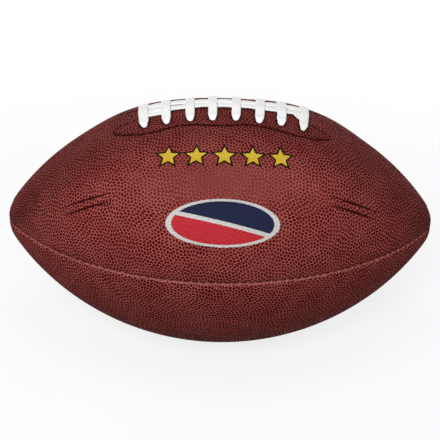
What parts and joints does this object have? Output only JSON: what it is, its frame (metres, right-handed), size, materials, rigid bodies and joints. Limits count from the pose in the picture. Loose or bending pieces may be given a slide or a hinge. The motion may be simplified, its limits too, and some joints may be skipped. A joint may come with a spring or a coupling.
{
  "type": "american football",
  "caption": "Laced, pebbled prolate ball: four sewn cover panels over linings and an inflated bladder with a needle valve.",
  "frame": {"origin": "centre of the ball on its long axis, halfway between the noses", "axes": "+X along the long axis, +Z out through the laces on the top seam, +Y towards the back seam, so the pictured side faces -Y"},
  "size_m": [0.29, 0.169, 0.1727],
  "materials": {
    "cover": "pebbled composite leather, reddish brown, satin",
    "lining": "laminated cotton cloth",
    "seam_thread": "waxed brown thread",
    "patch": "coated reinforcement cloth",
    "outline_thread": "dark polyester thread",
    "lace": "white coated vinyl lace",
    "guard": "soft vinyl strip",
    "bladder": "moulded butyl",
    "valve": "moulded rubber",
    "plug": "soft self-sealing rubber"
  },
  "bodies": {
    "root": {"panel_top_front": "cover", "panel_bottom_front": "cover", "panel_top_back": "cover", "panel_bottom_back": "cover", "lining_top_front": "lining", "lining_bottom_front": "lining", "lining_top_back": "lining", "lining_bottom_back": "lining", "seam_thread_front": "seam_thread", "seam_thread_back": "seam_thread", "seam_thread_bottom": "seam_thread", "seam_thread_top_left": "seam_thread", "seam_thread_top_right": "seam_thread", "lace_patch_front": "patch", "lace_patch_back": "patch", "patch_stitches_front": "outline_thread", "patch_stitches_back": "outline_thread", "lace_crosses": "lace", "lace_strands": "lace", "lace_guard": "guard", "bladder": "bladder", "valve_body": "valve", "valve_plug": "plug"}
  },
  "joints": []
}
